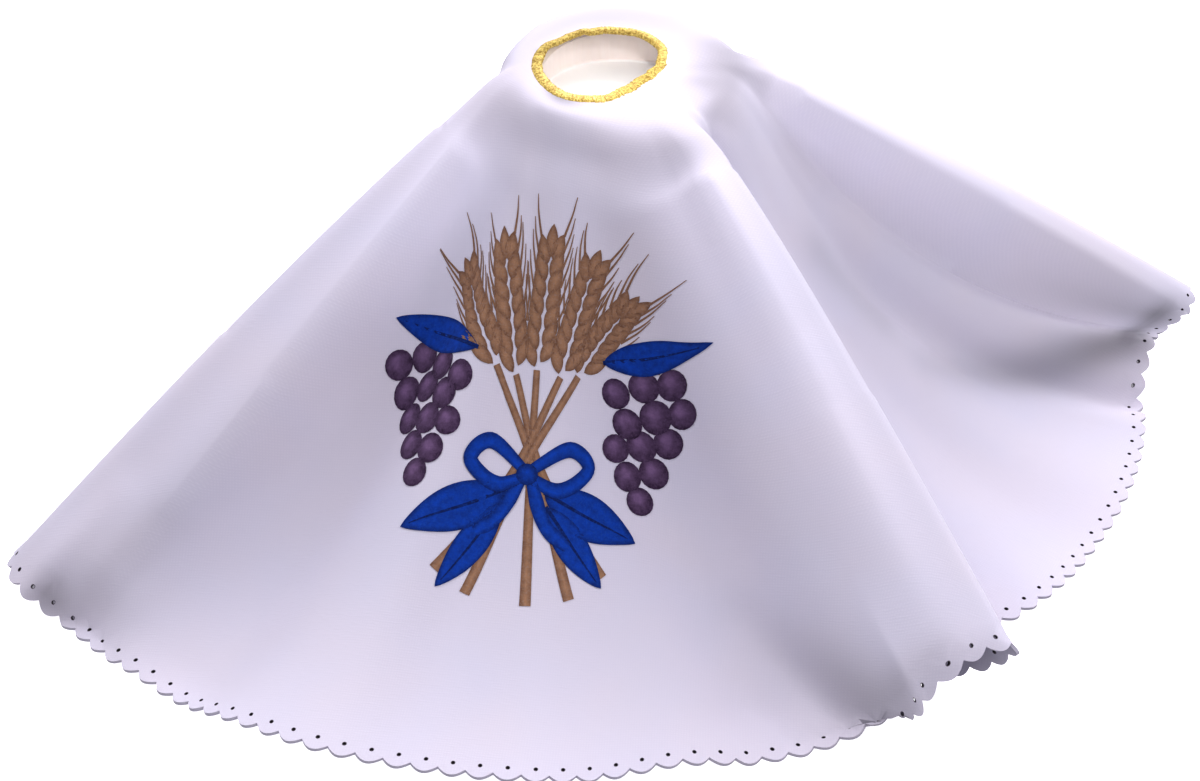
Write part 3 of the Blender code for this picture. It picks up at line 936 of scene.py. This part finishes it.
def weave_bump(maker, strength):
    """The cloth's relief: a fine basket weave, short uneven slubs across it and a soft crumple"""
    plain = flat_millimetres(maker)
    weft = maker.node("ShaderNodeTexWave", {"bands_direction": "Y"}, Vector=plain, Scale=0.42,
                      Distortion=0.6, Detail=1.0)
    warp = maker.node("ShaderNodeTexWave", {"bands_direction": "X"}, Vector=plain, Scale=0.42,
                      Distortion=0.6, Detail=1.0)
    threads = maker.maths("MULTIPLY", weft.outputs["Fac"], warp.outputs["Fac"])
    slub_place = flat_millimetres(maker, (0.3, 1.7, 1.0))
    slubs = maker.ramp(maker.noise(slub_place, 1.0, 1.0), 0.5, 0.8)
    crumple = maker.noise(plain, 0.06, 3.0)
    fine = maker.maths("MULTIPLY_ADD", threads, 0.25)
    maker.join(fine.node, "2", slubs)
    height = maker.maths("MULTIPLY_ADD", crumple, 1.5)
    maker.join(height.node, "2", fine)
    bump = maker.node("ShaderNodeBump", Height=height, Strength=strength, Distance=0.25 * METRES)
    return bump.outputs["Normal"], threads


def fabric_material():
    """White fabric with a faint uneven cast, painted shade in its folds, painted highlights on their
    crests and painted shade round each pinhole
    """
    maker = NodeMaker("white_fabric_woven")
    normal, threads = weave_bump(maker, 0.08)
    cast = maker.ramp(maker.noise(flat_millimetres(maker), 0.022, 2.0), 0.35, 0.65)
    colour = maker.mix(cast, (0.780, 0.757, 0.855, 1.0), (0.800, 0.762, 0.842, 1.0))
    raised = maker.maths("MULTIPLY", threads, 0.5)
    gaps = maker.mix(raised, (0.94, 0.94, 0.96, 1.0), (1.0, 1.0, 1.0, 1.0))
    woven = maker.mix(1.0, colour, gaps, "MULTIPLY")
    # Painted shade and painted highlight: the colour is scaled down in the folds and up along their
    # crests.
    kept = maker.maths("SUBTRACT", 1.0, maker.attribute("painted_shade_and_highlight"))
    shaded = maker.node("ShaderNodeVectorMath", {"operation": "SCALE"}, Vector=woven, Scale=kept)
    # Painted shade of the pinholes: the colour goes near black towards each hole's edge.
    punched = maker.ramp(maker.attribute("punched"), 0.35, 0.95)
    colour = maker.mix(punched, shaded.outputs["Vector"], (0.06, 0.05, 0.065, 1.0))
    maker.join(maker.surface, "Base Color", colour)
    maker.join(maker.surface, "Roughness", 0.9)
    maker.join(maker.surface, "Specular IOR Level", 0.25)
    maker.join(maker.surface, "Sheen Weight", 0.12)
    maker.join(maker.surface, "Sheen Roughness", 0.5)
    maker.join(maker.surface, "Normal", normal)
    return maker.material


def ink_material(name, dark, light, fleck):
    """Printed ink on the weave: dark to light by the drawn tone, mottled, with the threads showing"""
    maker = NodeMaker(name)
    normal, threads = weave_bump(maker, 0.16)
    plain = flat_millimetres(maker)
    mottle = maker.ramp(maker.noise(plain, 0.45, 4.0, 0.65), 0.3, 0.7)
    tone = maker.maths("MULTIPLY", maker.attribute("ink_tone"), 0.75)
    tone = maker.maths("ADD", tone, maker.maths("MULTIPLY", mottle, 0.4))
    colour = maker.mix(maker.maths("MINIMUM", tone, 1.0), dark, light)
    flecks = maker.ramp(maker.noise(plain, 1.6, 2.0), 0.5, 0.75)
    colour = maker.mix(maker.maths("MULTIPLY", flecks, 0.45), colour, fleck)
    maker.join(maker.surface, "Base Color", colour)
    maker.join(maker.surface, "Roughness", 0.8)
    maker.join(maker.surface, "Specular IOR Level", 0.2)
    maker.join(maker.surface, "Sheen Weight", 0.05)
    maker.join(maker.surface, "Normal", normal)
    return maker.material


def gold_thread_material():
    """Bright gold thread whose tone changes from stitch to stitch and along each"""
    maker = NodeMaker("gold_thread_stitched")
    place = maker.node("ShaderNodeTexCoord").outputs["Object"]
    glitter = maker.ramp(maker.noise(place, 2000.0, 1.0), 0.42, 0.58)
    tone = maker.maths("ADD", maker.maths("MULTIPLY", maker.attribute("thread_tone"), 0.35),
                       maker.maths("MULTIPLY", glitter, 0.65))
    colour = maker.mix(tone, (0.40, 0.25, 0.035, 1.0), (0.90, 0.75, 0.28, 1.0))
    bump = maker.node("ShaderNodeBump", Height=glitter, Strength=0.2, Distance=0.1 * METRES)
    maker.join(maker.surface, "Base Color", colour)
    maker.join(maker.surface, "Roughness", 0.42)
    maker.join(maker.surface, "Metallic", 0.1)
    maker.join(maker.surface, "Specular IOR Level", 0.6)
    maker.join(maker.surface, "Normal", bump.outputs["Normal"])
    return maker.material


def stand_material(floor_height):
    """Painted wood, off-white; its faint pink tint is painted warm shade, and the cup's floor is left
    whiter
    """
    maker = NodeMaker("white_paint_brushed")
    place = maker.node("ShaderNodeTexCoord").outputs["Object"]
    parts = maker.node("ShaderNodeSeparateXYZ", Vector=place)
    above = maker.ramp(parts.outputs["Z"], (floor_height + 0.25) * METRES, (floor_height + 0.7) * METRES)
    below = maker.ramp(parts.outputs["Z"], (floor_height - 0.5) * METRES, (floor_height - 0.1) * METRES)
    is_floor = maker.maths("SUBTRACT", below, above)
    brushed = maker.node("ShaderNodeMapping", Vector=place, Scale=(900.0, 900.0, 160.0))
    streaks = maker.noise(brushed.outputs["Vector"], 1.0, 3.0)
    # The faint pink of the paint is painted warm shade on the cup's wall; the cup's floor keeps a plain
    # white.
    paint = maker.mix(streaks, (0.97, 0.89, 0.865, 1.0), (0.98, 0.925, 0.905, 1.0))
    colour = maker.mix(maker.maths("MAXIMUM", is_floor, 0.0), paint, (0.97, 0.965, 0.96, 1.0))
    bump = maker.node("ShaderNodeBump", Height=streaks, Strength=0.2, Distance=0.1 * METRES)
    maker.join(maker.surface, "Base Color", colour)
    maker.join(maker.surface, "Roughness", 0.5)
    maker.join(maker.surface, "Normal", bump.outputs["Normal"])
    return maker.material


def floor_material(name, glow):
    """Pale and dull, lit a little from within where it has to stay as white as a backdrop"""
    maker = NodeMaker(name)
    place = maker.node("ShaderNodeTexCoord").outputs["Object"]
    grain = maker.noise(place, 40.0, 2.0)
    colour = maker.mix(grain, (0.93, 0.93, 0.935, 1.0), (0.95, 0.95, 0.955, 1.0))
    maker.join(maker.surface, "Base Color", colour)
    maker.join(maker.surface, "Roughness", 0.9)
    maker.join(maker.surface, "Emission Color", (1.0, 1.0, 1.0, 1.0))
    maker.join(maker.surface, "Emission Strength", glow)
    maker.material.cycles.emission_sampling = "NONE"
    return maker.material


# The table under the cloth stays unlit out to this flat radius, and a little past the hem where the
# camera can't see it. Its edge is worked out at these turns, from corners at most this far off.
COVERED_RADIUS = 222.0
COVERED_SPARE = 12.0
COVERED_RISE = 0.08
COVERED_STEP = 0.5
COVERED_NEAR = 0.4
TABLE_SIZE = 8.0
TABLE_GLOW = 0.9

# The photo's camera, in metres and degrees below the level.
CAMERA_PLACE = (-0.006, -0.536, 0.356)
CAMERA_DIP = 33.6
CAMERA_LENS = 60.0
CAMERA_SENSOR = 36.0

SKY_COLOUR = (0.94, 0.93, 1.0, 1.0)
SKY_STRENGTH = 0.44
EXPOSURE = -0.1
GAMMA = 0.72

LAMP_TARGET = Vector((0.0, 0.0, 0.04))
LAMP_COLOUR = (1.0, 0.985, 0.985)
LAMPS = (
    # name, degrees above the table, plan angle, distance, size, power
    ("back_light", 38.0, 92.0, 1.3, 0.8, 7.0),
    ("back_right_light", 40.0, 58.0, 1.3, 0.8, 8.5),
    ("back_left_light", 45.0, 150.0, 1.3, 0.8, 5.5),
    ("left_fill", 25.0, 235.0, 1.3, 0.8, 2.4),
    ("right_fill", 38.0, 345.0, 1.3, 0.8, 4.8),
    ("near_front_light", 45.0, 292.0, 0.42, 0.15, 0.25),
)

# A narrow lamp for the hole: its power, cone, soft edge, size, and degrees above the table.
CUP_LIGHT_POWER = 19.0
CUP_LIGHT_CONE = 2.7
CUP_LIGHT_BLEND = 0.5
CUP_LIGHT_SIZE = 0.01
CUP_LIGHT_RISE = 52.0


def covered_edge(drape):
    """Edge of what the cloth covers of the table and hides from the camera, save through pinholes"""
    row = int(np.argmin(np.abs(drape.radii - COVERED_RADIUS)))
    ring = drape.points[row]
    eye = np.array(CAMERA_PLACE) / METRES
    behind = eye[:2] + (ring[:, :2] - eye[:2]) * eye[2] / (eye[2] - ring[:, 2:])
    edge = []
    for turn in np.radians(np.arange(0.0, 360.0, COVERED_STEP)):
        reach = []
        for points, spare in ((ring, COVERED_SPARE), (behind, 0.0)):
            off = np.arctan2(points[:, 1], points[:, 0]) - turn
            near = np.cos(off) > cos(radians(COVERED_NEAR))
            reach.append(np.hypot(points[near, 0], points[near, 1]).min() + spare)
        edge.append((min(reach) * cos(turn), min(reach) * sin(turn)))
    return edge


def add_floor(drape):
    """A table that stays white round the cloth, and lies in the cloth's own shade under it"""
    bpy.ops.mesh.primitive_plane_add(size=TABLE_SIZE, location=(0.0, 0.0, 0.0))
    floor = bpy.context.object
    floor.name = "table_top"
    floor.data.materials.append(floor_material("table_white", TABLE_GLOW))
    floor.visible_diffuse = False
    rise = COVERED_RISE * METRES
    edge = [(x * METRES, y * METRES, rise) for x, y in covered_edge(drape)]
    mesh = bpy.data.meshes.new("table_covered")
    fan = [(0, corner + 1, (corner + 1) % len(edge) + 1) for corner in range(len(edge))]
    mesh.from_pydata([(0.0, 0.0, rise)] + edge, [], fan)
    mesh.materials.append(floor_material("table_shaded", 0.0))
    covered = bpy.data.objects.new("table_covered", mesh)
    bpy.context.scene.collection.objects.link(covered)
    covered.visible_diffuse = False


def direction(rise, turn):
    """The way to a lamp that stands some degrees above the table, at a plan angle"""
    level = cos(radians(rise))
    return Vector((level * cos(radians(turn)), level * sin(radians(turn)), sin(radians(rise))))


def place_lamp(lamp, place, target):
    thing = bpy.data.objects.new(lamp.name, lamp)
    thing.location = place
    thing.rotation_euler = (target - place).to_track_quat("-Z", "Y").to_euler()
    bpy.context.scene.collection.objects.link(thing)


def add_lights():
    world = bpy.data.worlds.new("studio")
    bpy.context.scene.world = world
    world.use_nodes = True
    sky = world.node_tree.nodes["Background"]
    sky.inputs["Color"].default_value = SKY_COLOUR
    sky.inputs["Strength"].default_value = SKY_STRENGTH
    for name, rise, turn, distance, size, power in LAMPS:
        lamp = bpy.data.lights.new(name, "AREA")
        lamp.shape = "DISK"
        lamp.size = size
        lamp.energy = power
        lamp.color = LAMP_COLOUR
        place_lamp(lamp, LAMP_TARGET + direction(rise, turn) * distance, LAMP_TARGET)


def add_cup_light():
    """A narrow lamp from the front that reaches only the hole and what lies in it"""
    lamp = bpy.data.lights.new("cup_light", "SPOT")
    lamp.energy = CUP_LIGHT_POWER
    lamp.spot_size = radians(CUP_LIGHT_CONE)
    lamp.spot_blend = CUP_LIGHT_BLEND
    lamp.shadow_soft_size = CUP_LIGHT_SIZE
    cup_floor = Vector((0.0, 0.0, CUP_FLOOR * METRES))
    place_lamp(lamp, cup_floor + direction(CUP_LIGHT_RISE, -90.0), cup_floor)


def add_camera():
    lens = bpy.data.cameras.new("photo_camera")
    lens.lens = CAMERA_LENS
    lens.sensor_width = CAMERA_SENSOR
    lens.clip_start = 0.01
    camera = bpy.data.objects.new("photo_camera", lens)
    camera.location = CAMERA_PLACE
    camera.rotation_euler = (radians(90.0 - CAMERA_DIP), 0.0, 0.0)
    bpy.context.scene.collection.objects.link(camera)
    bpy.context.scene.camera = camera


def make_inks():
    """Bronze, violet and blue ink, in the order that the print's slots have"""
    bronze = ink_material("bronze_ink", (0.150, 0.075, 0.050, 1.0), (0.480, 0.300, 0.200, 1.0),
                          (0.42, 0.34, 0.34, 1.0))
    violet = ink_material("violet_ink", (0.036, 0.015, 0.045, 1.0), (0.280, 0.180, 0.330, 1.0),
                          (0.20, 0.13, 0.24, 1.0))
    blue = ink_material("blue_ink", (0.010, 0.018, 0.090, 1.0), (0.012, 0.100, 0.520, 1.0),
                        (0.03, 0.12, 0.42, 1.0))
    return [bronze, violet, blue]


def main():
    drape = Drape()
    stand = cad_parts["stand"]
    stand.data.materials.clear()
    stand.data.materials.append(stand_material(CUP_FLOOR))

    cloth = make_cloth(drape, fabric_material())
    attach(cloth, "root")
    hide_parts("cloth")

    stitching = make_stitching(drape, gold_thread_material())
    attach(stitching, "root")
    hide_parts("hole_edging")

    sheaf = make_print(drape, make_inks())
    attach(sheaf, "root")

    add_floor(drape)
    add_lights()
    add_cup_light()
    add_camera()
    view = bpy.context.scene.view_settings
    view.view_transform = "Standard"
    view.exposure = EXPOSURE
    view.gamma = GAMMA


main()
